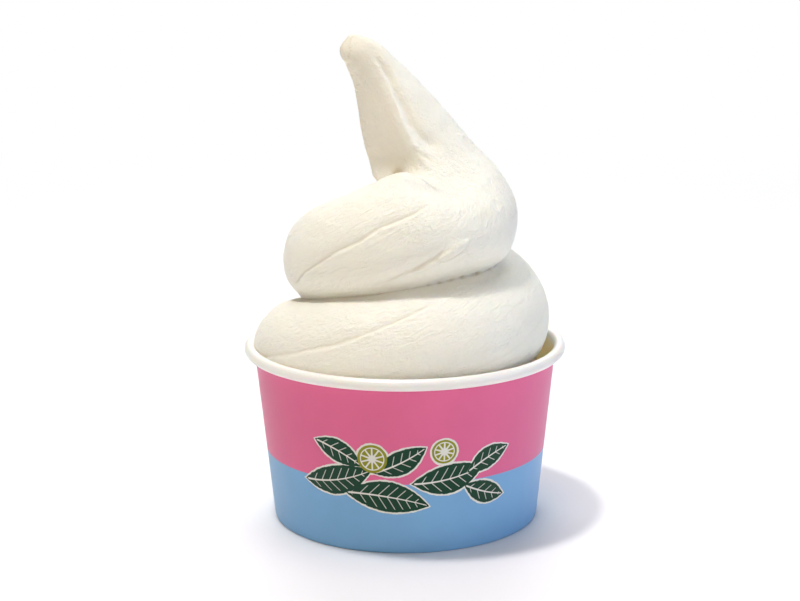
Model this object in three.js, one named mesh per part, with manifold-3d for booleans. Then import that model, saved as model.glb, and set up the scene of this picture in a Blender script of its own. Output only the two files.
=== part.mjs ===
// Soft serve in a squat paper dessert cup. Millimetres, +Z up, the front faces -Y.
// The origin is the centre of the cup's foot, on the surface that the cup stands on.
import * as THREE from 'three';
import { ConvexGeometry } from 'three/addons/geometries/ConvexGeometry.js';
import { mergeVertices } from 'three/addons/utils/BufferGeometryUtils.js';
import Module from 'manifold-3d';

// ---- Driving dimensions of the cup ----
const CUP_HEIGHT = 53.5;
const RIM_RADIUS = 48;
const FOOT_RADIUS = 39.8;
const BOARD = 0.5; // thickness of the paperboard
const GAP = 0.3; // air between two pieces that touch
const CURL_RADIUS = 1.7; // of the rolled rim, to its outside
const CURL_START = 180; // degrees round the curl's centre, where the wall runs into it
const CURL_END = -118; // where the board's edge stops
const CURL_SIDES = 10;
const HEM_HEIGHT = 6.9; // of the foot's folded-in edge
const FLOOR_BOARD = 0.6; // thickness of the cup's floor
const FLOOR_UNDERSIDE = 7.2;
const SEAM_WIDTH = 8; // overlap where the side wall's two edges are glued, at the back
const SEAM_STEP = 0.3; // how far the overlap stands proud
const SEAM_TOP = 49.3;
const SEAM_PLACES = [-1, -0.33, 0.33, 1]; // corners across the overlap, in half widths

// ---- Driving dimensions of the soft serve ----
// The rope is laid anticlockwise, seen from above. Turn 0 is at the left (-X), a quarter is the
// front (-Y). Reach is from the coil's axis to the rope's outside, height is at its widest point.
const COIL_AXIS_X = -0.5;
const COIL = [
  { turn: -0.75, reach: 42.0, height: 29.0, half: 15.0, up: 14.0, down: 14.0 },
  { turn: -0.5, reach: 43.2, height: 36.0, half: 15.0, up: 14.5, down: 15.0 },
  { turn: -0.25, reach: 43.6, height: 43.0, half: 14.5, up: 15.0, down: 15.0 },
  { turn: 0, reach: 44.9, height: 50.4, half: 14.5, up: 15.3, down: 15.0 },
  { turn: 0.25, reach: 44.0, height: 56.5, half: 16.0, up: 18.0, down: 15.5 },
  { turn: 0.5, reach: 43.5, height: 60.8, half: 17.5, up: 18.9, down: 16.0 },
  { turn: 0.75, reach: 37.7, height: 70.0, half: 17.5, up: 18.2, down: 15.0 },
  { turn: 1, reach: 35.4, height: 78.1, half: 17.0, up: 16.7, down: 15.3 },
  { turn: 1.25, reach: 34.7, height: 86.0, half: 18.5, up: 20.2, down: 13.8 },
];
const COIL_CLIMB = 9; // degrees from level, the slope of the laid rope
// Past the front the rope bends up and tapers to the leaning tip. Facing is the compass angle of
// the side that the front of the rope turns to, from +X. Climb is the slope, more than 90 where
// the rope leans back to the left. The rope's upper side is then its left side. Front, back, up
// and down are the half sizes of its section.
const PEAK = [
  { x: 9.5, y: -14, z: 89.5, facing: 275, climb: 27, front: 19, back: 22, up: 17.5, down: 15.1 },
  { x: 15, y: -9.8, z: 93, facing: 284, climb: 50, front: 19.2, back: 29, up: 16.7, down: 18.8 },
  { x: 15.6, y: -5.8, z: 98, facing: 290, climb: 74, front: 18.1, back: 28, up: 15.8, down: 18 },
  { x: 12.2, y: -2.8, z: 103, facing: 294, climb: 95, front: 16.1, back: 24, up: 16.3, down: 16.3 },
  { x: 7.6, y: -0.8, z: 107.6, facing: 297, climb: 110, front: 14.7, back: 20, up: 16.4, down: 14.1 },
  { x: 3.9, y: 0.3, z: 112.4, facing: 299, climb: 117, front: 13.4, back: 16.8, up: 14.5, down: 13.2 },
  { x: 0.4, y: 1, z: 119, facing: 300, climb: 119, front: 12, back: 13.5, up: 13.3, down: 11.5 },
  { x: -3.8, y: 1, z: 127.5, facing: 300, climb: 119, front: 9.5, back: 10.6, up: 10.5, down: 8.7 },
  { x: -7.4, y: 1, z: 134.2, facing: 300, climb: 121, front: 7.1, back: 8.3, up: 8, down: 6 },
  { x: -11.4, y: 1, z: 139.6, facing: 300, climb: 124, front: 5.2, back: 6, up: 6.6, down: 4.4 },
  { x: -13.2, y: 1, z: 142.2, facing: 300, climb: 124, front: 3.8, back: 4.6, up: 5.8, down: 2.7 },
  { x: -14.3, y: 1, z: 143.6, facing: 300, climb: 124, front: 2.3, back: 2.9, up: 4.3, down: 1.3 },
  { x: -14.9, y: 1, z: 144.4, facing: 300, climb: 124, front: 0.4, back: 0.5, up: 1.4, down: 0.2 },
];
const SECTION_POWER = 2.05; // 2 is an ellipse, more is squarer
const SECTION_SIDES = 24;
const COIL_STEP = 1 / 16; // of a turn, between the rope's knots
const ROPE_STEP = 7; // millimetres of rope between two sections
const TIP_LENGTH = 10; // of the rope's end, where they are closer
const TIP_STEP = 2;
const STUB = 2; // how far a length of rope reaches into the next
const STUB_INSET = 0.6; // how much thinner it is there
const RIDGE_HEIGHT = 1.2; // of the fold that runs down the front of the peak
const RIDGE_ANGLE = 32; // degrees round the section, from its front to its left
const RIDGE_SPREAD = 15;
const RIDGE_LENGTH = 55; // of the rope's end, along which the fold fades in
const FILL_HEIGHT = 40; // level of the soft serve that has sunk into the cup
// Radius and height of the solid middle that the rope is wound around
const MIDDLE = [[27, 20], [27, 60], [22, 74], [20, 80], [0, 90]];
// The top of the middle, an ellipsoid that fills the space between the coil and the peak's foot
const CROWN = { centre: [3, 6, 86], radii: [19, 20, 17] };
const CROWN_SIDES = 24;
const ROUND_SIDES = 64;

const COLOURS = { paper: 0xf3f0ea, floor: 0xf1ede4, softServe: 0xf6f0e0 };

const FULL_TURN = 360;
const BACK = Math.PI / 2; // angle of +Y

const wasm = await Module();
wasm.setup();

// ---- Solids ----
// A closed geometry as a solid, with the vertices that its faces share made one
function toSolid(geometry) {
  const bare = geometry.clone();
  bare.deleteAttribute('normal');
  bare.deleteAttribute('uv');
  const merged = mergeVertices(bare);
  const triVerts = new Uint32Array(merged.index.array);
  const vertProperties = new Float32Array(merged.attributes.position.array);
  return new wasm.Manifold(new wasm.Mesh({ numProp: 3, vertProperties, triVerts }));
}

function toGeometry(solid) {
  const mesh = solid.getMesh();
  const geometry = new THREE.BufferGeometry();
  geometry.setAttribute('position', new THREE.BufferAttribute(mesh.vertProperties, 3));
  geometry.setIndex(new THREE.BufferAttribute(mesh.triVerts, 1));
  geometry.computeVertexNormals();
  return geometry;
}

// A profile of [radius, height] points, turned about the vertical axis. The points run
// so that the material lies on their left.
function turned(profile) {
  const points = profile.map(([radius, height]) => new THREE.Vector2(radius, height));
  const geometry = new THREE.LatheGeometry(points, ROUND_SIDES);
  return geometry.rotateX(Math.PI / 2);
}

function namedMesh(name, geometry, colour, roughness) {
  const material = new THREE.MeshStandardMaterial({ color: colour, roughness, metalness: 0 });
  const mesh = new THREE.Mesh(geometry, material);
  mesh.name = name;
  return mesh;
}

// ---- The cup ----
const curlCentre = { radius: RIM_RADIUS - CURL_RADIUS, height: CUP_HEIGHT - CURL_RADIUS };
const wallTopRadius = curlCentre.radius - CURL_RADIUS + BOARD;

function wallRadius(height, inset = 0) {
  const taper = (wallTopRadius - FOOT_RADIUS) / curlCentre.height;
  return FOOT_RADIUS + taper * height - inset;
}

function curlArc(radius, from, to) {
  return Array.from({ length: CURL_SIDES + 1 }, (_, i) => {
    const angle = THREE.MathUtils.degToRad(from + ((to - from) * i) / CURL_SIDES);
    return [
      curlCentre.radius + radius * Math.cos(angle),
      curlCentre.height + radius * Math.sin(angle),
    ];
  });
}

// One sheet of board: up the outside, round the curled rim, down the inside, and folded in and
// up again at the foot, where it holds the skirt of the floor.
function cupWall() {
  const hemOutside = 2 * BOARD + 2 * GAP;
  const hemInside = hemOutside + BOARD;
  const profile = [
    [wallRadius(0), 0],
    ...curlArc(CURL_RADIUS - BOARD, CURL_START, CURL_END),
    ...curlArc(CURL_RADIUS, CURL_END, CURL_START),
    [wallRadius(FLOOR_BOARD, BOARD), FLOOR_BOARD],
    [wallRadius(FLOOR_BOARD, hemOutside), FLOOR_BOARD],
    [wallRadius(HEM_HEIGHT, hemOutside), HEM_HEIGHT],
    [wallRadius(HEM_HEIGHT, hemInside), HEM_HEIGHT],
    [wallRadius(0, hemInside), 0],
    [wallRadius(0), 0],
  ];
  const halfAngle = SEAM_WIDTH / 2 / RIM_RADIUS;
  const corners = [];
  for (const height of [0, SEAM_TOP]) {
    for (const inset of [BOARD / 2, -SEAM_STEP]) {
      for (const side of SEAM_PLACES) {
        const angle = BACK + side * halfAngle;
        const radius = wallRadius(height, inset);
        corners.push(new THREE.Vector3(radius * Math.cos(angle), radius * Math.sin(angle), height));
      }
    }
  }
  const sheet = toSolid(turned(profile));
  return toGeometry(sheet.add(toSolid(new ConvexGeometry(corners))));
}

// The floor is a disc with its edge folded down into the foot's hem.
function cupFloor() {
  const outside = BOARD + GAP;
  const inside = outside + BOARD;
  const skirtBottom = FLOOR_BOARD + GAP;
  const floorTop = FLOOR_UNDERSIDE + FLOOR_BOARD;
  return turned([
    [0, FLOOR_UNDERSIDE],
    [wallRadius(FLOOR_UNDERSIDE, inside), FLOOR_UNDERSIDE],
    [wallRadius(skirtBottom, inside), skirtBottom],
    [wallRadius(skirtBottom, outside), skirtBottom],
    [wallRadius(floorTop, outside), floorTop],
    [0, floorTop],
  ]);
}

// ---- The soft serve ----
// A smooth curve through values at uneven places, evaluated at one place
function through(places, values, place) {
  const last = places.length - 1;
  const slope = (i) => (values[i + 1] - values[i]) / (places[i + 1] - places[i]);
  const tangent = (i) => {
    if (i === 0) return slope(0);
    if (i === last) return slope(last - 1);
    const before = places[i] - places[i - 1];
    const after = places[i + 1] - places[i];
    return (slope(i - 1) * after + slope(i) * before) / (before + after);
  };
  let i = 0;
  while (i < last - 1 && place > places[i + 1]) i += 1;
  const span = places[i + 1] - places[i];
  const t = (place - places[i]) / span;
  return (1 + 2 * t) * (1 - t) ** 2 * values[i]
    + t * (1 - t) ** 2 * span * tangent(i)
    + t * t * (3 - 2 * t) * values[i + 1]
    + t * t * (t - 1) * span * tangent(i + 1);
}

// The rope's knots: points of the coil at even steps of turn, then the rows of the peak
function ropeKnots() {
  const turns = COIL.map((row) => row.turn);
  const knots = [];
  const steps = Math.round((turns.at(-1) - turns[0]) / COIL_STEP);
  for (let i = 0; i <= steps; i += 1) {
    const turn = turns[0] + i * COIL_STEP;
    const value = (key) => through(turns, COIL.map((row) => row[key]), turn);
    const angle = Math.PI + 2 * Math.PI * turn;
    const centre = value('reach') - value('half');
    knots.push({
      x: COIL_AXIS_X + centre * Math.cos(angle),
      y: centre * Math.sin(angle),
      z: value('height'),
      facing: THREE.MathUtils.radToDeg(angle),
      climb: COIL_CLIMB,
      front: value('half'),
      back: value('half'),
      up: value('up'),
      down: value('down'),
    });
  }
  return [...knots, ...PEAK.map((row) => ({ ...row, facing: row.facing + FULL_TURN }))];
}

const knots = ropeKnots();
const along = [0];
for (let i = 1; i < knots.length; i += 1) {
  const a = knots[i - 1];
  const b = knots[i];
  along.push(along[i - 1] + Math.hypot(b.x - a.x, b.y - a.y, b.z - a.z));
}
const ropeLength = along.at(-1);

function ropeValue(key, place) {
  return through(along, knots.map((knot) => knot[key]), place);
}

// How far the fold stands out of the rope's front at one place along it
function ridgeHeight(place) {
  const { smoothstep } = THREE.MathUtils;
  const left = ropeLength - place;
  const fadesIn = 1 - smoothstep(left, RIDGE_LENGTH / 2, RIDGE_LENGTH);
  return RIDGE_HEIGHT * fadesIn * smoothstep(left, 0, RIDGE_LENGTH / 4);
}

// The points round the rope at one place along it, drawn in by the inset
function ropeSection(place, inset = 0) {
  const centre = new THREE.Vector3(...['x', 'y', 'z'].map((key) => ropeValue(key, place)));
  const facing = THREE.MathUtils.degToRad(ropeValue('facing', place));
  const climb = THREE.MathUtils.degToRad(ropeValue('climb', place));
  const vertical = new THREE.Vector3(0, 0, 1);
  const front = new THREE.Vector3(Math.cos(facing), Math.sin(facing), 0);
  const backward = new THREE.Vector3().crossVectors(front, vertical);
  const upward = vertical.multiplyScalar(Math.cos(climb)).addScaledVector(backward, Math.sin(climb));
  const rounded = (value) => Math.sign(value) * Math.abs(value) ** (2 / SECTION_POWER);
  return Array.from({ length: SECTION_SIDES }, (_, i) => {
    const degrees = (FULL_TURN * i) / SECTION_SIDES;
    const angle = THREE.MathUtils.degToRad(degrees);
    const depth = ropeValue(Math.cos(angle) > 0 ? 'front' : 'back', place) - inset;
    const height = ropeValue(Math.sin(angle) > 0 ? 'up' : 'down', place) - inset;
    const fromRidge = Math.min(degrees - RIDGE_ANGLE, FULL_TURN - degrees + RIDGE_ANGLE);
    const swell = 1 + (ridgeHeight(place) / depth) * Math.exp(-((fromRidge / RIDGE_SPREAD) ** 2));
    return centre.clone()
      .addScaledVector(front, depth * swell * rounded(Math.cos(angle)))
      .addScaledVector(upward, height * swell * rounded(Math.sin(angle)));
  });
}

// A short length of the rope, with a thinner stub at each end that reaches into its neighbours
function ropeSegment(from, to) {
  const points = [...ropeSection(from), ...ropeSection(to)];
  if (from > 0) points.push(...ropeSection(from - STUB, STUB_INSET));
  if (to < ropeLength) points.push(...ropeSection(Math.min(to + STUB, ropeLength), STUB_INSET));
  return toSolid(new ConvexGeometry(points));
}

// Places from one to another in steps near to the given one, without the last
function evenPlaces(from, to, step) {
  const count = Math.ceil((to - from) / step);
  return Array.from({ length: count }, (_, i) => from + ((to - from) * i) / count);
}

// The rope is joined from its lengths, and joined with its middle and with what has sunk into
// the cup. The cup's inside then trims it all.
function softServe() {
  const tipStart = ropeLength - TIP_LENGTH;
  const places = [...evenPlaces(0, tipStart, ROPE_STEP), ...evenPlaces(tipStart, ropeLength, TIP_STEP)];
  places.push(ropeLength);
  let rope = ropeSegment(places[0], places[1]);
  for (let i = 2; i < places.length; i += 1) {
    rope = rope.add(ropeSegment(places[i - 1], places[i]));
  }
  const crown = new THREE.SphereGeometry(1, CROWN_SIDES, CROWN_SIDES / 2);
  crown.scale(...CROWN.radii).translate(...CROWN.centre);
  const middle = toSolid(turned([[0, MIDDLE[0][1]], ...MIDDLE]));
  const beyond = 2 * RIM_RADIUS;
  const fill = toSolid(turned([[0, 0], [beyond, 0], [beyond, FILL_HEIGHT], [0, FILL_HEIGHT]]));
  const inset = BOARD + GAP;
  const bottom = FLOOR_UNDERSIDE + FLOOR_BOARD + GAP;
  const throat = curlCentre.radius - CURL_RADIUS - GAP;
  const highest = 4 * CUP_HEIGHT;
  const room = toSolid(turned([
    [0, bottom],
    [wallRadius(bottom, inset), bottom],
    [throat, curlCentre.height],
    [throat, highest],
    [0, highest],
  ]));
  return toGeometry(rope.add(middle).add(toSolid(crown)).add(fill).intersect(room));
}

// ---- Assembly ----
const softServeCup = new THREE.Group();
softServeCup.add(namedMesh('cup_wall', cupWall(), COLOURS.paper, 0.45));
softServeCup.add(namedMesh('cup_floor', cupFloor(), COLOURS.floor, 0.6));
softServeCup.add(namedMesh('soft_serve', softServe(), COLOURS.softServe, 0.4));

export default softServeCup;
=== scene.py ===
import math

import bmesh
import bpy
import numpy as np
from mathutils import Matrix, Vector, interpolate, noise
from mathutils.bvhtree import BVHTree


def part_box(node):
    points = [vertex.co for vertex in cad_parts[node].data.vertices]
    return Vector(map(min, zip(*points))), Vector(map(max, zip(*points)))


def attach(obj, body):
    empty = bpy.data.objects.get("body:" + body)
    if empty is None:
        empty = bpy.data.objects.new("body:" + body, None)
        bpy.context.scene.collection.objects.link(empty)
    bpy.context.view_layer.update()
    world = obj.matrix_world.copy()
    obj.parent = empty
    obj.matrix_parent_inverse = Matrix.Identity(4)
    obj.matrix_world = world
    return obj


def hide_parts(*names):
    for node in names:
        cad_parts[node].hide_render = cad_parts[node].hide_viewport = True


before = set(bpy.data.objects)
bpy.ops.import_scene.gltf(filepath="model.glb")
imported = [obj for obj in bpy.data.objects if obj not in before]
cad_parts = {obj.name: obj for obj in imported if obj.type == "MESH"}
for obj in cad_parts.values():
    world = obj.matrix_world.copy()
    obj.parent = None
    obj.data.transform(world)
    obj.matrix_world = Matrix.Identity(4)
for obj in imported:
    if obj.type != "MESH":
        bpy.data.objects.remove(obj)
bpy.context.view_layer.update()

# ---- The camera ----
# A long lens stands 0.6 m in front of the cup, a little above the peak, and looks down
# just far enough to see over the near edge. It was held a hair off level.
MM = 0.001
CAMERA_AIM = Vector((-1.38, 0, 65.28)) * MM
CAMERA_DISTANCE = 593.3 * MM
CAMERA_PITCH = math.radians(13.11)
CAMERA_ROLL = math.radians(-0.37)
CAMERA_LENS = 89.3  # millimetres, over a 36 mm sensor

camera = bpy.data.objects.new("camera", bpy.data.cameras.new("camera"))
bpy.context.scene.collection.objects.link(camera)
bpy.context.scene.camera = camera
camera.data.lens = CAMERA_LENS
camera.data.clip_start = 10 * MM
camera.matrix_world = (
    Matrix.Translation(CAMERA_AIM)
    @ Matrix.Rotation(math.pi / 2 - CAMERA_PITCH, 4, "X")
    @ Matrix.Rotation(CAMERA_ROLL, 4, "Z")
    @ Matrix.Translation((0, 0, CAMERA_DISTANCE))
)

# ---- The cup's side wall ----
# One sheet of white paperboard, printed outside and filmed with plastic inside, is wrapped to a
# cone and glued where its edges overlap. The top edge is rolled outwards, so that the rim shows
# the white inside of the board, and the foot is folded in round the floor.
rim_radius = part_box("cup_wall")[1].x
cup_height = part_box("cup_wall")[1].z
FOOT_RADIUS = 39.8 * MM
BOARD = 0.5 * MM
CURL_RADIUS = 1.7 * MM
CURL_END = -118  # degrees, where the rolled edge stops
HEM_HEIGHT = 6.9 * MM
HEM_INSET = 1.6 * MM  # from the wall's outside to the folded-in board
FOLD_RADIUS = 0.5 * MM
WALL_SIDES = 288
LAP_WIDTH = 8 * MM
LAP_STEP = 0.28 * MM
LAP_CUT = 0.2 * MM  # over which the board's cut edge drops
LAP_TOP = 49.3 * MM
LAP_EASE = 5 * MM  # over which the covered edge is pressed flat
BAND_HEIGHT = 21.4 * MM  # where the pink band meets the blue one

curl_radius_at = rim_radius - CURL_RADIUS
curl_height_at = cup_height - CURL_RADIUS
wall_top_radius = curl_radius_at - CURL_RADIUS + BOARD


def wall_radius(height, inset=0.0):
    """The radius of the wall's outer face at a height, less the inset."""
    return FOOT_RADIUS + (wall_top_radius - FOOT_RADIUS) * height / curl_height_at - inset


def smooth_step(value, start, end):
    """0 up to the start and 1 from the end on, with a soft step between them."""
    t = np.clip((value - start) / (end - start), 0, 1)
    return t * t * (3 - 2 * t)


def full_turn(steps):
    return np.linspace(0, 2 * np.pi, steps, endpoint=False)


def arc(centre_radius, centre_height, radius, start, end, steps):
    """Points (radius, height) of an arc of the profile, between two angles in degrees."""
    angles = np.radians(np.linspace(start, end, steps + 1))
    return np.stack(
        [centre_radius + radius * np.cos(angles), centre_height + radius * np.sin(angles)], -1
    )


def straight(start_height, end_height, inset, steps):
    """Points of the profile that follow the wall's slope, so far inside its outer face."""
    heights = np.linspace(start_height, end_height, steps + 1)
    return np.stack([wall_radius(heights, inset), heights], -1)


def mesh_piece(name, points, faces, materials, face_materials=None):
    """A smooth-shaded object of these points and faces, put into the scene."""
    mesh = bpy.data.meshes.new(name)
    mesh.from_pydata(points.tolist(), [], [list(face) for face in faces])
    for material in materials:
        mesh.materials.append(material)
    if face_materials is not None:
        mesh.polygons.foreach_set("material_index", face_materials)
    mesh.shade_smooth()
    piece = bpy.data.objects.new(name, mesh)
    bpy.context.scene.collection.objects.link(piece)
    return piece


def turned_grid(profile, angles, lift=None):
    """Points and quads of a closed profile turned through the angles. Lift moves points out."""
    radius = np.broadcast_to(profile[:, 0], (len(angles), len(profile)))
    if lift is not None:
        radius = radius + lift
    x = radius * np.cos(angles)[:, None]
    y = radius * np.sin(angles)[:, None]
    points = np.stack([x, y, np.broadcast_to(profile[:, 1], x.shape)], -1).reshape(-1, 3)
    i, j = np.meshgrid(np.arange(len(angles)), np.arange(len(profile)), indexing="ij")
    across = (i + 1) % len(angles)
    onward = (j + 1) % len(profile)
    width = len(profile)
    quads = [i * width + j, across * width + j, across * width + onward, i * width + onward]
    return points, np.stack(quads, -1).reshape(-1, 4)


class Wire:
    """One output of a material's nodes. Arithmetic on it adds Math nodes."""

    def __init__(self, tree, socket=None):
        self.tree = tree
        self.socket = socket

    def node(self, kind, settings, inputs, output=0):
        made = self.tree.nodes.new("ShaderNode" + kind)
        for key, value in settings.items():
            setattr(made, key, value)
        for key, value in inputs.items():
            if isinstance(value, Wire):
                self.tree.links.new(value.socket, made.inputs[key])
            else:
                made.inputs[key].default_value = value
        return Wire(self.tree, made.outputs[output] if made.outputs else None)

    def math(self, operation, *values):
        return self.node("Math", {"operation": operation}, dict(enumerate(values)))

    def __add__(self, other):
        return self.math("ADD", self, other)

    def __sub__(self, other):
        return self.math("SUBTRACT", self, other)

    def __rsub__(self, other):
        return self.math("SUBTRACT", other, self)

    def __mul__(self, other):
        return self.math("MULTIPLY", self, other)

    def __truediv__(self, other):
        return self.math("DIVIDE", self, other)

    def __rtruediv__(self, other):
        return self.math("DIVIDE", other, self)

    def __neg__(self):
        return self * -1.0

    __radd__ = __add__
    __rmul__ = __mul__

    def least(self, other):
        return self.math("MINIMUM", self, other)

    def most(self, other):
        return self.math("MAXIMUM", self, other)

    def size(self):
        return self.math("ABSOLUTE", self)

    def root(self):
        return self.math("SQRT", self)

    def above(self, edge, softness):
        """0 where the value is under the edge and 1 where it is over, with a soft step."""
        settings = {"interpolation_type": "SMOOTHSTEP"}
        ends = {1: edge - softness / 2, 2: edge + softness / 2}
        return self.node("MapRange", settings, {0: self, **ends})

    def mixed(self, first, second):
        """Two colours mixed, with this value as the share of the second."""
        settings = {"data_type": "RGBA"}
        return self.node("Mix", settings, {0: self, 6: first, 7: second}, output=2)

    def noise(self, scale, detail=2.0, rough=0.5, swirl=0.0):
        sockets = {"Vector": self, "Scale": scale, "Detail": detail, "Roughness": rough}
        return self.node("TexNoise", {}, {**sockets, "Distortion": swirl})


def new_material(name):
    """An empty material, with a wire to start its nodes from."""
    material = bpy.data.materials.new(name)
    material.use_nodes = True
    material.node_tree.nodes.clear()
    return material, Wire(material.node_tree)


def finish_with(wire, shader):
    wire.node("OutputMaterial", {}, {"Surface": shader})


def axes_of(place):
    """The three coordinates of a place in metres, as wires in millimetres."""
    scaled = place.node("VectorMath", {"operation": "SCALE"}, {0: place, "Scale": 1 / MM})
    return [scaled.node("SeparateXYZ", {}, {0: scaled}, output=axis) for axis in range(3)]


# The print: a spray of leaves with slices of lime across the two bands, each leaf cut out by hand
# with a white edge. A leaf is (across, height, degrees it is turned, length, width, bend), and
# a slice is (across, height, radius). Their sizes are in millimetres, as is what follows them.
PINK = (0.77, 0.145, 0.305, 1)
BLUE = (0.205, 0.43, 0.7, 1)
LEAF_GREEN = (0.001, 0.046, 0.02, 1)
EDGE_WHITE = (0.78, 0.76, 0.7, 1)
LIME = (0.27, 0.27, 0.012, 1)
LEAVES = [
    (-20.5, 21.5, 14, 23, 8.6, 0.010),
    (-19.5, 30.5, -24, 16, 6.6, -0.012),
    (-5.5, 17.6, -8, 25, 9.2, -0.008),
    (-1.5, 28.0, 28, 17, 7.0, 0.010),
    (12.5, 22.5, 10, 22, 8.8, 0.008),
    (24.0, 17.0, -20, 15, 6.6, 0.010),
    (24.5, 27.5, 24, 15, 6.4, -0.012),
]
LIMES = [(-9.5, 29.0, 4.3), (10.8, 31.0, 3.6)]
LIME_CUTS = 5  # each cut crosses the slice, so it parts ten segments
PRINT_RADIUS = 42.0  # of the wall at the middle of the print
CUT_EDGE = 0.55  # width of the white edge
RAGGED = 0.55  # how far the hand-cut edges wander
CRISP = 0.12  # over which one ink gives way to the next
RIB = 0.2  # half the width of a leaf's middle rib, which thins towards its tip
RIB_TAPER = 0.008
RIB_MARGIN = 0.5  # between the rib's ends and the leaf's edge
VEIN_SPACING = 2.7
VEIN_SLANT = 0.8
VEIN = 0.055  # half the width of a vein, as a share of the spacing
VEIN_MARGIN = 0.9
VEIN_INK = 0.75
CUT = 0.22  # half the width of a cut between two segments
PITH = 0.16  # half the width of the pale ring, and its radius as a share of the slice's
PITH_AT = 0.78


def leaf_depth(across, height, leaf, grow=0.0):
    """How far inside a leaf's edge a point is, and its place along and across the leaf."""
    centre_x, centre_y, degrees, length, width, bend = leaf
    cosine = math.cos(math.radians(degrees))
    sine = math.sin(math.radians(degrees))
    x = across - centre_x
    y = height - centre_y
    along = x * cosine + y * sine
    side = y * cosine - x * sine - along * along * bend
    share = along / (length / 2 + grow)
    return (1 - share * share) * (width / 2 + grow) - side.size(), along, side


def printed_board():
    material, start = new_material("printed_board")
    place = start.node("TexCoord", {}, {}, output="Object")
    x, y, z = axes_of(place)
    across = x.math("ARCTAN2", x, -y) * PRINT_RADIUS
    wander = (place.noise(900.0) - 0.5) * RAGGED
    colour = z.above(BAND_HEIGHT / MM, CRISP).mixed(BLUE, PINK)
    edge = None
    for leaf in LEAVES:
        depth = leaf_depth(across, z, leaf, CUT_EDGE)[0]
        edge = depth if edge is None else edge.most(depth)
    slices = []
    for centre_x, centre_y, radius in LIMES:
        slice_x = across - centre_x
        slice_y = z - centre_y
        from_centre = (slice_x * slice_x + slice_y * slice_y).root()
        edge = edge.most(radius + CUT_EDGE - from_centre)
        slices.append((slice_x, slice_y, from_centre, radius))
    front = (CRISP - y).above(0.0, 1.0)
    colour = ((edge + wander).above(0.0, CRISP) * front).mixed(colour, EDGE_WHITE)
    for leaf in LEAVES:
        depth, along, side = leaf_depth(across, z, leaf)
        colour = ((depth + wander).above(0.0, CRISP) * front).mixed(colour, LEAF_GREEN)
        rib = RIB - side.size() - along * RIB_TAPER
        rib = rib.above(0.0, CRISP) * (depth - RIB_MARGIN).above(0.0, 0.2)
        pace = (along - side.size() * VEIN_SLANT) / VEIN_SPACING
        vein = VEIN - (pace - pace.math("ROUND", pace)).size()
        vein = vein.above(0.0, 0.04) * (depth - VEIN_MARGIN).above(0.0, 0.3)
        colour = (rib.most(vein * VEIN_INK) * front).mixed(colour, EDGE_WHITE)
    for slice_x, slice_y, from_centre, radius in slices:
        disc = (radius - from_centre + wander * 0.4).above(0.0, CRISP) * front
        colour = disc.mixed(colour, LIME)
        turn = slice_x.math("ARCTAN2", slice_x, slice_y) * LIME_CUTS
        cut = CUT - turn.math("SINE", turn).size() * from_centre / LIME_CUTS
        pith = PITH - (from_centre - radius * PITH_AT).size()
        inside = (radius * PITH_AT - from_centre).above(0.0, CRISP)
        pale = (cut.above(0.0, 0.1) * inside).most(pith.above(0.0, 0.1))
        colour = (pale * front).mixed(colour, EDGE_WHITE)
    fibre = place.noise(2600.0, 4.0)
    mottle = place.noise(70.0, 3.0)
    tint = mottle.node("MapRange", {}, {0: mottle, 1: 0.3, 2: 0.7, 3: 0.97, 4: 1.03})
    colour = tint.node("VectorMath", {"operation": "SCALE"}, {0: colour, "Scale": tint})
    bump = fibre.node("Bump", {}, {"Height": fibre, "Strength": 0.12, "Distance": 0.06 * MM})
    shader = start.node("BsdfPrincipled", {}, {
        "Base Color": colour,
        "Roughness": 0.36 + mottle * 0.1,
        "Normal": bump,
        "IOR": 1.3,
        "Coat Weight": 0.05,
        "Coat Roughness": 0.2,
    })
    finish_with(start, shader)
    return material


# The film inside is smeared with cream up to just under the rim: up to the top given below, raised
# by the tilt times the distance from the axis. Past the reach from the axis the board is clean. In
# millimetres. The smear is
# partly painted light: it is lighter and warmer than the cream, in place of the light the cream
# throws into the gap.
FILMED_BOARD = ((0.85, 0.82, 0.765, 1), (0.88, 0.86, 0.82, 1))
SMEAR_AND_PAINTED_LIGHT = (0.98, 0.84, 0.47, 1)
SMEAR_AND_LIGHT_TOP = 45.6
SMEAR_AND_LIGHT_TILT = 0.12
SMEAR_AND_LIGHT_REACH = 45.3


def plain_board():
    material, start = new_material("plain_board")
    place = start.node("TexCoord", {}, {}, output="Object")
    fibre = place.noise(2200.0, 4.0)
    cloud = place.noise(55.0, 2.0)
    colour = cloud.mixed(*FILMED_BOARD)
    x, y, z = axes_of(place)
    inner = (x * x + y * y).root()
    below_rim = 1 - (z - inner * SMEAR_AND_LIGHT_TILT).above(SMEAR_AND_LIGHT_TOP, 1.2)
    smear_and_light = below_rim * z.above(HEM_HEIGHT / MM + 1, 1) * (1 - inner.above(SMEAR_AND_LIGHT_REACH, 0.3))
    # Painted light: the smear's colour, lighter and warmer than the cream, also stands in for
    # light bounced off it
    colour = (smear_and_light * (0.75 + cloud * 0.4).least(1.0)).mixed(colour, SMEAR_AND_PAINTED_LIGHT)
    bump = fibre.node("Bump", {}, {"Height": fibre, "Strength": 0.15, "Distance": 0.05 * MM})
    shader = start.node("BsdfPrincipled", {}, {
        "Base Color": colour,
        "Roughness": 0.27 + fibre * 0.12,
        "Normal": bump,
        "IOR": 1.5,
        "Subsurface Weight": 0.35,
        "Subsurface Scale": 0.4 * MM,
    })
    finish_with(start, shader)
    return material


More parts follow.
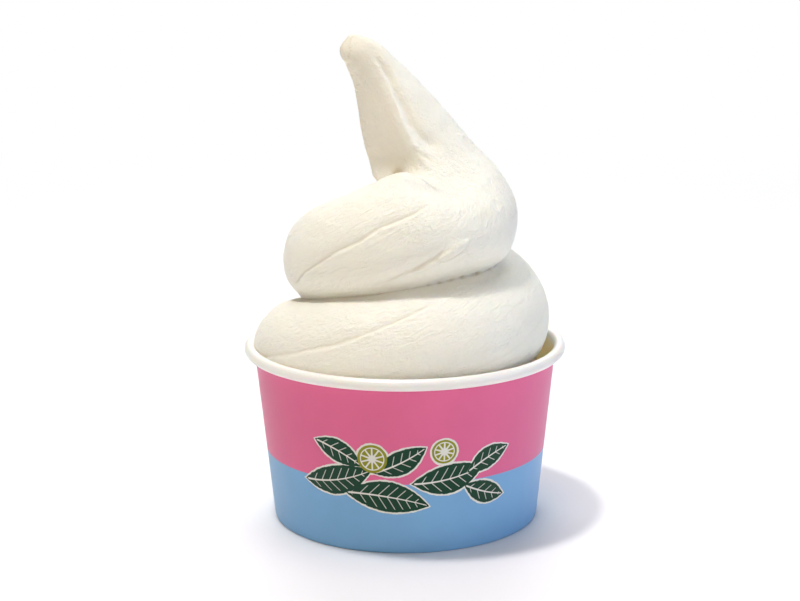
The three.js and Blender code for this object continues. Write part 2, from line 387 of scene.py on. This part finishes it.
outside = np.concatenate([
    arc(wall_radius(0, FOLD_RADIUS), FOLD_RADIUS, FOLD_RADIUS, -90, 0, 5),
    straight(1.0 * MM, curl_height_at, 0.0, 40),
    arc(curl_radius_at, curl_height_at, CURL_RADIUS - BOARD, 180, CURL_END, 26)[1:],
])
hem_foot = wall_radius(0, HEM_INSET + BOARD)
inside = np.concatenate([
    arc(curl_radius_at, curl_height_at, CURL_RADIUS, CURL_END, 180, 40),
    straight(curl_height_at, 2 * BOARD, BOARD, 24)[1:],
    straight(2 * BOARD, HEM_HEIGHT, HEM_INSET, 4),
    straight(HEM_HEIGHT, FOLD_RADIUS, HEM_INSET + BOARD, 4),
    arc(hem_foot + FOLD_RADIUS, FOLD_RADIUS, FOLD_RADIUS, 180, 270, 5)[1:],
])
wall_profile = np.concatenate([outside, inside])
lap_half = LAP_WIDTH / 2
lap_places = np.array([-lap_half - LAP_EASE, -lap_half, 0, lap_half - LAP_CUT, lap_half])
around = np.concatenate([full_turn(WALL_SIDES), np.pi / 2 + lap_places / rim_radius])
around = np.unique(around)
from_back = (around - np.pi / 2) * rim_radius
lap = smooth_step(from_back, -lap_half - LAP_EASE, -lap_half) * (from_back < lap_half - 1e-6)
below = (wall_profile[:, 1] < LAP_TOP) & (wall_profile[:, 1] > FOLD_RADIUS)
on_outside = np.arange(len(wall_profile)) < len(outside)
lift = LAP_STEP * lap[:, None] * (below & on_outside)[None, :]
wall_points, wall_faces = turned_grid(wall_profile, around, lift)
printed = np.tile(np.arange(len(wall_profile)) < len(outside) - 1, len(around))
cup_wall = mesh_piece(
    "paper_cup_wall", wall_points, wall_faces, [printed_board(), plain_board()],
    np.where(printed, 0, 1),
)
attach(cup_wall, "root")
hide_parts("cup_wall")

# ---- The cup's floor ----
# A disc of like board, filmed on top. Its edge is turned down into a skirt, and the foot of
# the side wall is folded up over the skirt and pressed to it.
FLOOR_BOARD = 0.6 * MM
FLOOR_UNDERSIDE = 7.2 * MM
FLOOR_CENTRE = 0.4 * MM  # where the turned profile begins, beside the axis
FLOOR_RINGS = 14
FLOOR_SIDES = 160
FLOOR_GAP = 0.3 * MM
SKIRT_BEND = 0.6 * MM
BARE_BOARD = ((0.68, 0.655, 0.6, 1), (0.82, 0.8, 0.75, 1))

skirt_outside = BOARD + FLOOR_GAP
skirt_inside = skirt_outside + BOARD
skirt_foot = FLOOR_BOARD + FLOOR_GAP
floor_top = FLOOR_UNDERSIDE + FLOOR_BOARD
bend_radius = wall_radius(floor_top, skirt_outside + SKIRT_BEND)
underside = np.linspace(FLOOR_CENTRE, wall_radius(FLOOR_UNDERSIDE, skirt_inside), FLOOR_RINGS)
top_side = np.linspace(bend_radius, FLOOR_CENTRE, FLOOR_RINGS)[1:]
floor_profile = np.concatenate([
    np.stack([underside, np.full_like(underside, FLOOR_UNDERSIDE)], -1),
    straight(FLOOR_UNDERSIDE - 0.1 * MM, skirt_foot, skirt_inside, 4),
    straight(skirt_foot, floor_top - SKIRT_BEND, skirt_outside, 4),
    arc(bend_radius, floor_top - SKIRT_BEND, SKIRT_BEND, 0, 90, 6)[1:],
    np.stack([top_side, np.full_like(top_side, floor_top)], -1),
])


def bare_board():
    material, start = new_material("bare_board")
    place = start.node("TexCoord", {}, {}, output="Object")
    fibre = place.noise(1500.0, 5.0)
    colour = fibre.mixed(*BARE_BOARD)
    bump = fibre.node("Bump", {}, {"Height": fibre, "Strength": 0.3, "Distance": 0.08 * MM})
    shader = start.node("BsdfPrincipled", {}, {
        "Base Color": colour, "Roughness": 0.7 + fibre * 0.15, "Normal": bump,
    })
    finish_with(start, shader)
    return material


floor_points, floor_faces = turned_grid(floor_profile, full_turn(FLOOR_SIDES))
cup_floor = mesh_piece("paper_cup_floor", floor_points, floor_faces, [bare_board()])
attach(cup_floor, "root")
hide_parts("cup_floor")

# ---- The soft serve ----
# One thick rope of frozen cream, run out of a round nozzle while the cup was turned under it. It
# climbs from inside the cup in two and a half turns and is drawn up to a leaning peak. Its skin
# was dragged along as it left the nozzle, which leaves folds, streaks and fine tears.
COIL_AXIS_X = -0.5
COIL_CLIMB = 9
COIL_STEP = 1 / 16  # of a turn, between two knots of the rope
# The rope's rows are in millimetres, and its angles in degrees
COIL = np.array([
    # turn, reach, height, half width, up, down
    (-0.75, 42.0, 29.0, 15.0, 14.0, 14.0),
    (-0.50, 43.2, 36.0, 15.0, 14.5, 15.0),
    (-0.25, 43.6, 43.0, 14.5, 15.0, 15.0),
    (0.00, 44.9, 50.4, 14.5, 15.3, 15.0),
    (0.25, 44.0, 56.5, 16.0, 18.0, 15.5),
    (0.50, 43.5, 60.8, 17.5, 18.9, 16.0),
    (0.75, 37.7, 70.0, 17.5, 18.2, 15.0),
    (1.00, 35.4, 78.1, 17.0, 16.7, 15.3),
    (1.25, 34.7, 86.0, 18.5, 20.2, 13.8),
])
PEAK = np.array([
    # x, y, z, facing, climb, front, back, up, down
    (9.5, -14.0, 89.5, 275, 27, 19.0, 22.0, 17.5, 15.1),
    (15.0, -9.8, 93.0, 284, 50, 19.2, 29.0, 16.7, 18.8),
    (15.6, -5.8, 98.0, 290, 74, 18.1, 28.0, 15.8, 18.0),
    (12.2, -2.8, 103.0, 294, 95, 16.1, 24.0, 16.3, 16.3),
    (7.6, -0.8, 107.6, 297, 110, 14.7, 20.0, 16.4, 14.1),
    (3.9, 0.3, 112.4, 299, 117, 13.4, 16.8, 14.5, 13.2),
    (0.4, 1.0, 119.0, 300, 119, 12.0, 13.5, 13.3, 11.5),
    (-3.8, 1.0, 127.5, 300, 119, 9.5, 10.6, 10.5, 8.7),
    (-7.4, 1.0, 134.2, 300, 121, 7.1, 8.3, 8.0, 6.0),
    (-11.4, 1.0, 139.6, 300, 124, 5.2, 6.0, 6.6, 4.4),
    (-13.2, 1.0, 142.2, 300, 124, 3.8, 4.6, 5.8, 2.7),
    (-14.3, 1.0, 143.6, 300, 124, 2.3, 2.9, 4.3, 1.3),
    (-14.9, 1.0, 144.4, 300, 124, 0.4, 0.5, 1.4, 0.2),
])
SECTION_POWER = 2.05  # 2 is an ellipse, and more is a little fuller
ROPE_STEP = 0.7  # between two rings of the rope
ROPE_SIDES = 120
VOXEL = 0.4 * MM


def through(places, values, at):
    """Smooth curves through rows of values at uneven places."""
    step = np.diff(places)[:, None]
    slope = np.diff(values, axis=0) / step
    tangent = np.concatenate([slope[:1], slope[:1], slope[2:], slope[-1:]])
    tangent[1:-1] = (slope[:-1] * step[1:] + slope[1:] * step[:-1]) / (step[:-1] + step[1:])
    i = np.clip(np.searchsorted(places, at, side="right") - 1, 0, len(places) - 2)
    span = step[i]
    t = (at - places[i])[:, None] / span
    return (
        (1 + 2 * t) * (1 - t) ** 2 * values[i]
        + t * (1 - t) ** 2 * span * tangent[i]
        + t * t * (3 - 2 * t) * values[i + 1]
        + t * t * (t - 1) * span * tangent[i + 1]
    )


def rope_knots():
    """The rope's rows from one end to the other, all in the columns of the peak's rows."""
    turns = np.arange(COIL[0, 0], COIL[-1, 0] + COIL_STEP / 2, COIL_STEP)
    reach, height, half, up, down = through(COIL[:, 0], COIL[:, 1:], turns).T
    angle = np.pi + 2 * np.pi * turns
    centre = reach - half
    coil = np.stack([
        COIL_AXIS_X + centre * np.cos(angle), centre * np.sin(angle), height,
        np.degrees(angle), np.full_like(turns, COIL_CLIMB), half, half, up, down,
    ], -1)
    peak = PEAK.copy()
    peak[:, 3] += 360
    return np.concatenate([coil, peak])


knots = rope_knots()
knot_gaps = np.linalg.norm(np.diff(knots[:, :3], axis=0), axis=1)
knot_places = np.concatenate([[0], np.cumsum(knot_gaps)])
rope_length = knot_places[-1]


def rope_surface(places, angles):
    """A grid of points on the rope, at places along it and angles round it."""
    rows = through(knot_places, knots, places)
    x, y, z, facing, climb, front, back, up, down = rows.T[:, :, None]
    facing = np.radians(facing)
    climb = np.radians(climb)
    cosine, sine = np.cos(angles), np.sin(angles)
    outward = np.where(cosine > 0, front, back)
    outward = outward * np.sign(cosine) * np.abs(cosine) ** (2 / SECTION_POWER)
    upward = np.where(sine > 0, up, down) * np.sign(sine) * np.abs(sine) ** (2 / SECTION_POWER)
    lean = upward * np.sin(climb)
    return np.stack([
        x + outward * np.cos(facing) + lean * np.sin(facing),
        y + outward * np.sin(facing) - lean * np.cos(facing),
        z + upward * np.cos(climb),
    ], -1)


def tube_faces(rings, sides):
    i, j = np.meshgrid(np.arange(rings - 1), np.arange(sides), indexing="ij")
    onward = (j + 1) % sides
    quads = [i * sides + j, i * sides + onward, (i + 1) * sides + onward, (i + 1) * sides + j]
    return np.stack(quads, -1).reshape(-1, 4).tolist()


places = np.linspace(0, rope_length, round(rope_length / ROPE_STEP))
rope_points = rope_surface(places, full_turn(ROPE_SIDES)).reshape(-1, 3) * MM
rope_faces = tube_faces(len(places), ROPE_SIDES)
first_ring = list(range(ROPE_SIDES))
last_ring = [len(rope_points) - ROPE_SIDES + j for j in range(ROPE_SIDES)]

# What has sunk into the cup fills it to the wall, and the coil is full inside up to the crown
CREAM_GAP = 0.15 * MM  # between the cream and the film on the board
AXIS = 0.01  # millimetres from the axis at which a turned solid ends, so that no face is empty
MIDDLE = np.array([(AXIS, 20), (27, 20), (27, 60), (22, 74), (20, 80), (AXIS, 90)]) * MM
MIDDLE_SIDES = 96
FILL_HEIGHT = 40 * MM
CROWN_CENTRE = Vector((3, 6, 86)) * MM
CROWN_RADII = (19 * MM, 20 * MM, 17 * MM)
fill_foot = floor_top + CREAM_GAP
fill = np.array([
    (AXIS * MM, fill_foot), (wall_radius(fill_foot, BOARD + CREAM_GAP), fill_foot),
    (wall_radius(FILL_HEIGHT, BOARD + CREAM_GAP), FILL_HEIGHT), (AXIS * MM, FILL_HEIGHT),
])

rough = bmesh.new()


def add_to_rough(points, faces):
    made = [rough.verts.new(point) for point in points]
    for face in faces:
        rough.faces.new([made[k] for k in face])


add_to_rough(rope_points, rope_faces + [first_ring[::-1], last_ring])
for solid_profile in (MIDDLE, fill):
    add_to_rough(*turned_grid(solid_profile, full_turn(MIDDLE_SIDES)))
crown_matrix = Matrix.Translation(CROWN_CENTRE) @ Matrix.Diagonal((*CROWN_RADII, 1))
bmesh.ops.create_uvsphere(rough, u_segments=64, v_segments=32, radius=1, matrix=crown_matrix)
bmesh.ops.recalc_face_normals(rough, faces=rough.faces)
rough_mesh = bpy.data.meshes.new("rough")
rough.to_mesh(rough_mesh)
rough.free()

# The rope and its middle become one skin
blank = bpy.data.objects.new("blank", rough_mesh)
bpy.context.scene.collection.objects.link(blank)
remesh = blank.modifiers.new("skin", "REMESH")
remesh.mode = "VOXEL"
remesh.voxel_size = VOXEL
settle = blank.modifiers.new("settle", "SMOOTH")
settle.factor = 0.5
settle.iterations = 3
graph = bpy.context.evaluated_depsgraph_get()
skin = bpy.data.meshes.new_from_object(blank.evaluated_get(graph))
bpy.data.objects.remove(blank)
count = len(skin.vertices)


def of_vertices(field):
    values = np.empty(count * 3, np.float32)
    skin.vertices.foreach_get(field, values)
    return values.reshape(-1, 3).astype(float)


surface = of_vertices("co")
normals = of_vertices("normal")
ends_of = np.empty(len(skin.edges) * 2, np.int32)
skin.edges.foreach_get("vertices", ends_of)
edges = ends_of.reshape(-1, 2)


def relaxed(points, links, times):
    """Points, or values, pulled to the middle of their neighbours so many times."""
    first, second = links.T
    size = len(points)
    near_count = np.bincount(links.ravel(), minlength=size).clip(1)[:, None]
    for _ in range(times):
        points = np.stack([
            np.bincount(first, column[second], size) + np.bincount(second, column[first], size)
            for column in points.T
        ], -1) / near_count
    return points


# The rope runs on into the peak without a break: the hollow at the shoulder is filled and eased
SHOULDERS = [
    # centre, reach, times
    (Vector((9.5, -12.0, 101.0)) * MM, 15 * MM, 500),
    (Vector((0.0, 14.0, 98.0)) * MM, 17 * MM, 500),
]
SHOULDER_ROUND = 10  # times, between two looks at how far a point is let go
for centre, reach, times in SHOULDERS:
    far = np.linalg.norm(surface - centre, axis=1)
    part = np.flatnonzero(far < reach)
    own = np.full(count, -1)
    own[part] = np.arange(len(part))
    links = own[edges]
    links = links[(links >= 0).all(1)]
    share = (1 - smooth_step(far[part], 0.5 * reach, 0.95 * reach))[:, None]
    eased = surface[part]
    for _ in range(times // SHOULDER_ROUND):
        eased = eased + (relaxed(eased, links, SHOULDER_ROUND) - eased) * share
    surface[part] = eased
skin.vertices.foreach_set("co", surface.astype(np.float32).ravel())
skin.update()
normals = of_vertices("normal")

# Each point of the skin learns its place along the rope and its angle round it
tree = BVHTree.FromPolygons(rope_points.tolist(), rope_faces)
place_at = np.empty(count)
angle_at = np.empty(count)
side_step = 360 / ROPE_SIDES
ring_step = places[1]
for k, point in enumerate(surface.tolist()):
    near, _, face, _ = tree.find_nearest(point)
    ring, side = divmod(face, ROPE_SIDES)
    weights = interpolate.poly_3d_calc([rope_points[corner] for corner in rope_faces[face]], near)
    place_at[k] = (ring + weights[2] + weights[3]) * ring_step
    angle_at[k] = (side + weights[1] + weights[2]) * side_step
rows_at = through(knot_places, knots, place_at)
girth = (rows_at[:, 5] + rows_at[:, 7]) / 2


def hump(value, width):
    """A rounded ridge, 1 high where the value is 0."""
    return np.exp(-((value / width) ** 2))


def above_path(path):
    """Millimetres round the rope, upwards, from a path of (place in mm, angle in degrees)."""
    path = np.array(path, float)
    away = angle_at - np.interp(place_at, path[:, 0], path[:, 1])
    return np.radians((away + 180) % 360 - 180) * girth


def stretch(start, full, fading, end):
    """The rope between two places along it, with soft ends, as a mask of the skin's points."""
    return smooth_step(place_at, start, full) * (1 - smooth_step(place_at, fading, end))


# A fold is a path of (place, angle), its depth, the width of the slope that rolls in above it and
# of the one that comes up under it, and the height of the lip there, all in millimetres
LIP_DROP = 2.4  # from the crease down to the lip and the lip's width, in widths of the lower slope
LIP_WIDTH = 1.1
CREASE_WIDTH = 0.45  # millimetres, of the painted shade in a fold
FOLDS = [
    # The upper coil: the long fold of its front, and the short ones under it
    ([(297.9, -29), (302.3, -18), (305, -10), (309, 0.6), (312.9, 11), (316.2, 16.7),
      (319.3, 26), (324.3, 30.5), (330.3, 36), (336.5, 40)], 0.75, 1.7, 0.45, 0.1),
    ([(315, -37), (318.4, -31), (321, -23.1), (323.7, -18), (327.4, -12.2), (333, -7.7),
      (339.1, -4.4)], 0.4, 1.1, 0.45, 0.14),
    ([(364, 13), (367.2, 19), (370.4, 26), (372, 30)], 0.45, 0.9, 0.5, 0.1),
    # The lower coil: the fold of its front, and a shallow one beside it
    ([(139.7, -7), (148.5, 2), (158.9, 11.5), (166.8, 20), (171, 23.8), (183.2, 44),
      (187.6, 52.1), (193.3, 63)], 0.65, 1.6, 0.45, 0.08),
    ([(187.2, -22), (197.1, -10), (207.2, 2), (217.2, 15), (225.3, 25)], 0.16, 1.2, 0.7, 0.05),
    # Round the back of both
    ([(213.2, -40), (227.3, -22), (241.3, -3), (252.9, 14), (263.1, 30), (271.3, 43), (278.6, 54)],
     0.6, 1.6, 0.5, 0.1),
    ([(239.3, -42), (251, -26), (262.2, -8), (272.2, 10), (282.3, 28), (291, 43), (297.9, 55)],
     0.5, 1.4, 0.5, 0.1),
    ([(262.2, -46), (269.4, -34), (276.7, -20), (283.3, -8), (289, 3)], 0.3, 1.1, 0.6, 0.1),
    ([(60, -8), (74, 8), (88, 24), (101, 40), (112.1, 53)], 0.55, 1.5, 0.5, 0.1),
    ([(96, -2), (108.1, 10), (121.3, 24), (133.6, 38), (142.8, 50)], 0.4, 1.3, 0.5, 0.08),
    # Down the back of the peak
    ([(336.1, -92), (346.1, -97), (358.1, -101), (372.1, -102), (386.1, -99), (397.1, -96)],
     0.5, 1.2, 0.7, 0.15),
    ([(334.1, -150), (348.1, -161), (362.1, -168), (376.1, -170), (390.1, -166), (399.1, -160)],
     0.65, 1.5, 0.6, 0.15),
    ([(350.1, 134), (362.1, 139), (376.1, 142), (390.1, 141), (398.1, 139)], 0.3, 1.1, 0.6, 0.1),
]
height = np.zeros(count)
crease = np.zeros(count)
for path, depth, over, under, lip in FOLDS:
    offset = above_path(path)
    ends = stretch(path[0][0], path[1][0] + 1, path[-2][0] - 1, path[-1][0])
    slope = np.where(offset > 0, offset / over, -offset / under)
    lip_shape = lip * hump(offset + LIP_DROP * under, LIP_WIDTH * under)
    height += ends * (lip_shape - depth * np.exp(-slope))
    # Painted shade along the fold's crease
    crease += ends * depth * hump(offset, CREASE_WIDTH)

# Small leaves of skin lie folded over, two of them under the upper coil's fold. One row sinks in
# instead, and the last is the nib that hangs off the tip
FLAKES = [
    # place, angle, half length, half width, degrees that it climbs each millimetre, height
    (333.4, -11.8, 4.6, 2.1, 1.25, 0.95),
    (326.5, -18.6, 3.8, 1.2, 1.0, 0.8),
    (199.2, 75.0, 1.8, 0.8, 0.6, 0.3),
    (348.1, -18.0, 1.4, 0.9, 0.5, -0.3),
    (258.5, -6.0, 3.6, 1.4, 1.2, 0.4),
    (401.6, 100.0, 3.2, 3.4, 0, 0.4),
]
FLAKE_PATH = 9  # millimetres of path, each way from a leaf's middle
UNDERCUT = 0.5  # depth of the fine cut under a leaf and of the painted shade in it, as shares of the height
UNDERCUT_PAINTED_SHADE = 0.9
for place, angle, length, width, climb, rise in FLAKES:
    path = [(place + way, angle + way * climb) for way in (-FLAKE_PATH, FLAKE_PATH)]
    offset = above_path(path)
    taper = np.clip(1 - ((place_at - place) / length) ** 2, 0.01, 1)
    leaf = np.exp(-np.abs(offset / (width * taper)) ** 3) * np.sqrt(taper)
    height += rise * leaf
    under = hump(offset + 1.15 * width * taper, 0.35) * (taper > 0.02) * taper
    height -= UNDERCUT * abs(rise) * under
    # Painted shade in the cut under the leaf
    crease += UNDERCUT_PAINTED_SHADE * abs(rise) * under

# The peak's left face is drawn flat up to a sharp edge, with a thin bead and a groove beside it
PEAK_EDGE = [(362.1, 21), (369.4, 26), (378.1, 25), (386.1, 21), (391.1, 18), (396.1, 13),
             (402.1, 5)]
PEAK_GROOVE = [(362.1, -7), (367.2, 1), (369.9, 7), (373.1, 12), (376.8, 14), (382.3, 13),
               (388.6, 10), (396, 3.5), (402.1, -6)]
FACE_SPREAD = 45  # degrees from the edge to the middle of the flat face
FLATTENING = 0.72  # share of the round side that is pressed in
BEAD_RISE = 0.34
BEAD_WIDTH = 0.7
GROOVE_DEPTH = 1.35
GROOVE_WIDTHS = np.array([(366, 2.2), (376, 1.5), (398, 0.85)])  # at places along the rope
GROOVE_PAINTED_SHADE = 0.3
offset = above_path(PEAK_EDGE)
flat_part = stretch(359, 369, 395, 402)
from_middle = np.abs(np.degrees(offset / girth) - FACE_SPREAD)
on_face = np.radians(np.minimum(from_middle, FACE_SPREAD))
chord = math.cos(math.radians(FACE_SPREAD)) / np.cos(on_face)
height += FLATTENING * flat_part * girth * (chord - 1) * (from_middle < FACE_SPREAD)
height += BEAD_RISE * flat_part * hump(offset + 0.5, BEAD_WIDTH)
# Painted shade: the cream's colour is darkened over this face and towards the tip
face_and_tip_shade = flat_part * smooth_step(offset, 0, 3) * (from_middle < 1.6 * FACE_SPREAD)
face_and_tip_shade = np.maximum(face_and_tip_shade, 1.3 * smooth_step(place_at, 388, 401))
offset = above_path(PEAK_GROOVE)
groove_width = np.interp(place_at, *GROOVE_WIDTHS.T)
groove_part = stretch(365, 372, 392, 401)
height -= GROOVE_DEPTH * groove_part * np.exp(-np.abs(offset / groove_width) ** 1.5)
# Painted shade in the groove
crease += GROOVE_PAINTED_SHADE * groove_part * hump(offset - 0.3, 0.7)


def rough_noise(points):
    """Noise from -1 to 1 at each point, with features about one unit wide."""
    return np.array([noise.noise(point) for point in points.tolist()])


# The skin turns slowly round the rope on its way, so streaks run as the folds do. The drag map
# holds where a point is round the rope and along it, in millimetres, for the finest of them.
TWIST = 0.7  # degrees round the rope for each degree that the rope turns
LUMP_SIZE = 14 * MM
LUMP_RISE = 0.25
SWELL_SIZE = 6 * MM
SWELL_RISE = 0.12
PATCH_SIZE = 9 * MM  # of the parts where the skin was dragged more roughly
STREAK_SIZE = np.array([2.2, 2.2, 4.5])  # twice round the rope, and along it
STREAK_RISE = (0.04, 0.06)  # everywhere, and what a rough part adds
WRINKLE_SIZE = np.array([1.7, 1.7, 1.3])
WRINKLE_RISE = (0.03, 0.07)
turned = np.radians(angle_at - TWIST * rows_at[:, 3])
drag = np.stack([girth * np.cos(turned), girth * np.sin(turned), place_at], -1)
patch = smooth_step(rough_noise(surface / PATCH_SIZE + 31), -0.2, 0.4)
height += LUMP_RISE * rough_noise(surface / LUMP_SIZE)
height += SWELL_RISE * rough_noise(surface / SWELL_SIZE + 7)
height += (STREAK_RISE[0] + STREAK_RISE[1] * patch) * rough_noise(drag / STREAK_SIZE)
wrinkle = np.maximum(rough_noise(drag / WRINKLE_SIZE + 5), -0.1)
height += (WRINKLE_RISE[0] + WRINKLE_RISE[1] * patch) * wrinkle
surface += normals * (height * MM)[:, None]

# Where two turns meet, the crevice between them is narrow and deep. It follows the line at which
# the nearest part of the rope changes from one turn to the next.
TURN_JUMP = 40  # millimetres along the rope, more than this between neighbours on two turns
MEETING_SPREAD = 24  # rounds that widen the line to the band in which the skin is eased
MEETING_GAIN = 9
MEETING_ROUNDS = 14
CREVICE_DEPTH = 0.8 * MM
jump = np.abs(place_at[edges[:, 0]] - place_at[edges[:, 1]]) > TURN_JUMP
meeting = np.zeros((count, 1))
meeting[edges[jump].ravel()] = 1
hollow = ((relaxed(surface, edges, 15) - surface) * normals).sum(-1, keepdims=True) / MM
meeting *= smooth_step(relaxed(hollow, edges, 15), 0.04, 0.16)
nearby = np.clip(relaxed(meeting, edges, MEETING_SPREAD) * MEETING_GAIN, 0, 1)
for _ in range(MEETING_ROUNDS):
    surface += (relaxed(surface, edges, 1) - surface) * nearby
skin.vertices.foreach_set("co", surface.astype(np.float32).ravel())
skin.update()
normals = relaxed(of_vertices("normal"), edges, 2)
hollow = ((relaxed(surface, edges, 6) - surface) * normals).sum(-1, keepdims=True) / MM
crevice = nearby * smooth_step(relaxed(hollow, edges, 4), 0.05, 0.13)
surface -= normals * crevice * CREVICE_DEPTH

# Against the cup the cream is pressed to the board's shape, and over the rim nothing holds it
FREE = 1.0  # metres, more than the cream ever needs
radius = np.hypot(surface[:, 0], surface[:, 1])
level = surface[:, 2]
inset = np.sqrt(np.clip(CURL_RADIUS**2 - (level - curl_height_at) ** 2, 0, None))
by_rim = curl_radius_at - inset - CREAM_GAP
throat = curl_radius_at - CURL_RADIUS - CREAM_GAP
under_rim = smooth_step(level, curl_height_at - 3 * CURL_RADIUS, curl_height_at)
by_wall = wall_radius(level, BOARD + CREAM_GAP)
by_wall = by_wall * (1 - under_rim) + np.minimum(by_wall, throat) * under_rim
room = np.where(level < curl_height_at, by_wall, by_rim)
room = np.where(level > cup_height, FREE, room)
surface[:, :2] *= np.minimum(1, room / np.maximum(radius, 1e-6))[:, None]
surface[:, 2] = np.maximum(level, fill_foot)
skin.vertices.foreach_set("co", surface.astype(np.float32).ravel())

# The maps that the cream's finish reads: the drag, and the painted shade that darkens its colour
CREASE_PAINTED_SHADE = 0.3
# Painted shade in the crevice between turns, over and above its carved depth
CREVICE_PAINTED_SHADE = 0.6
FACE_AND_TIP_PAINTED_SHADE = 0.19
# Painted shade: the colour is darkened in folds, grooves and cuts, between turns, and on the
# peak's left face and tip
painted_shade = CREASE_PAINTED_SHADE * crease + CREVICE_PAINTED_SHADE * crevice[:, 0] ** 2 + FACE_AND_TIP_PAINTED_SHADE * face_and_tip_shade
drag_map = skin.attributes.new("drag", "FLOAT_VECTOR", "POINT")
drag_map.data.foreach_set("vector", drag.astype(np.float32).ravel())
painted_shade_map = skin.attributes.new("crevice", "FLOAT", "POINT")
painted_shade_map.data.foreach_set("value", np.clip(painted_shade, 0, 1).astype(np.float32))
skin.update()

# The cream's colours, and the darker, warmer colour that the painted shade mixes in
CREAM = ((0.93, 0.884, 0.768, 1), (0.95, 0.913, 0.815, 1))
CREAM_IN_PAINTED_SHADE = (0.5, 0.39, 0.2, 1)


def frozen_cream():
    material, start = new_material("frozen_cream")
    place = start.node("TexCoord", {}, {}, output="Object")
    dragged = start.node("Attribute", {"attribute_name": "drag"}, {}, output="Vector")
    painted_shade_amount = start.node("Attribute", {"attribute_name": "crevice"}, {}, output="Fac")
    along_rope = dragged.node("Mapping", {}, {"Vector": dragged, "Scale": (0.8, 0.8, 0.42)})
    across_rope = dragged.node("Mapping", {}, {"Vector": dragged, "Scale": (0.75, 0.75, 1.0)})
    cloud = place.noise(110.0, 2.0)
    strands = along_rope.noise(1.0, 6.0, 0.58, 1.3)
    wrinkles = across_rope.noise(1.3, 4.0, 0.55, 0.8)
    grain = place.noise(900.0, 4.0, 0.6)
    pits = place.node("TexVoronoi", {"feature": "F1"}, {"Vector": place, "Scale": 300.0})
    pit = (1 - pits.above(0.2, 0.2)) * cloud.above(0.52, 0.1)
    relief = strands * 1.2 + wrinkles * cloud.above(0.5, 0.2) * 0.8 + grain * 0.5 - pit * 0.2
    bumped = relief.node("Bump", {}, {"Height": relief, "Strength": 1.0, "Distance": 0.4 * MM})
    # Painted shade: mixed towards the darker cream where the map says
    colour = painted_shade_amount.mixed(cloud.mixed(*CREAM), CREAM_IN_PAINTED_SHADE)
    shader = start.node("BsdfPrincipled", {}, {
        "Base Color": colour,
        "Roughness": 0.36 + strands * 0.16,
        "Normal": bumped,
        "IOR": 1.4,
        "Subsurface Weight": 0.3,
        "Subsurface Radius": (1.0, 0.7, 0.4),
        "Subsurface Scale": 1.1 * MM,
    })
    finish_with(start, shader)
    return material


skin.materials.clear()
skin.materials.append(frozen_cream())
skin.shade_smooth()
swirl = bpy.data.objects.new("soft_serve_swirl", skin)
bpy.context.scene.collection.objects.link(swirl)
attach(swirl, "root")
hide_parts("soft_serve")

# ---- The table and the lights ----
# A white table runs off into a white sweep. A small bright lamp hangs high over the cup, with a
# large one round it, and soft ones fill in from the right and the front. All in metres and watts.
TABLE_RADIUS = 30.0
SWEEP_START = 0.5  # where the table turns into the sweep
CUP_MIDDLE = (0, 0, 0.06)  # what the lamps are aimed at
table_mesh = bpy.data.meshes.new("table")
table_shape = bmesh.new()
bmesh.ops.create_circle(table_shape, cap_ends=True, segments=96, radius=TABLE_RADIUS)
table_shape.to_mesh(table_mesh)
table_shape.free()
table = bpy.data.objects.new("table", table_mesh)
bpy.context.scene.collection.objects.link(table)
table.location.z = -0.05 * MM


def table_top():
    material, start = new_material("table_top")
    board = start.node("BsdfPrincipled", {}, {
        "Base Color": (0.86, 0.86, 0.87, 1), "Roughness": 0.6, "IOR": 1.3,
    })
    sweep = start.node("Emission", {}, {"Color": (1, 1, 1, 1), "Strength": 1.0})
    x, y, _ = axes_of(start.node("TexCoord", {}, {}, output="Object"))
    far = (x * x + y * y).root().above(SWEEP_START / MM, SWEEP_START / MM)
    finish_with(start, start.node("MixShader", {}, {0: far, 1: board, 2: sweep}))
    return material


table_mesh.materials.append(table_top())


def soft_light(name, place, aim, width, power, colour):
    data = bpy.data.lights.new(name, "AREA")
    data.shape = "DISK"
    data.size = width
    data.energy = power
    data.color = colour
    lamp = bpy.data.objects.new(name, data)
    lamp.location = place
    lamp.rotation_euler = (Vector(place) - Vector(aim)).to_track_quat("Z", "Y").to_euler()
    bpy.context.scene.collection.objects.link(lamp)


soft_light("key", (-0.23, -0.1, 1.17), CUP_MIDDLE, 0.13, 7.6, (1, 0.97, 0.97))
soft_light("overhead", (0, 0, 1.2), CUP_MIDDLE, 0.9, 5.6, (0.98, 1, 0.97))
soft_light("right_fill", (1.0, -0.3, 0.4), CUP_MIDDLE, 0.8, 4.2, (0.6, 0.73, 1))
soft_light("front_fill", (-0.4, -1.15, 0.5), CUP_MIDDLE, 0.8, 4.1, (1, 0.87, 0.68))
soft_light("behind", (0, 2.2, 1.6), (0, 2.0, 0), 2.2, 50.0, (1, 1, 1))

# The room is white to look at, but almost all the light comes from the lamps
world = bpy.data.worlds.new("room")
world.use_nodes = True
world.node_tree.nodes.clear()
air = Wire(world.node_tree)
seen = air.node("LightPath", {}, {}, output="Is Camera Ray")
glow = air.node("Background", {}, {"Color": (1, 1, 1, 1), "Strength": 0.02 + seen * 0.98})
air.node("OutputWorld", {}, {"Surface": glow})
bpy.context.scene.world = world
bpy.context.scene.view_settings.view_transform = "Standard"
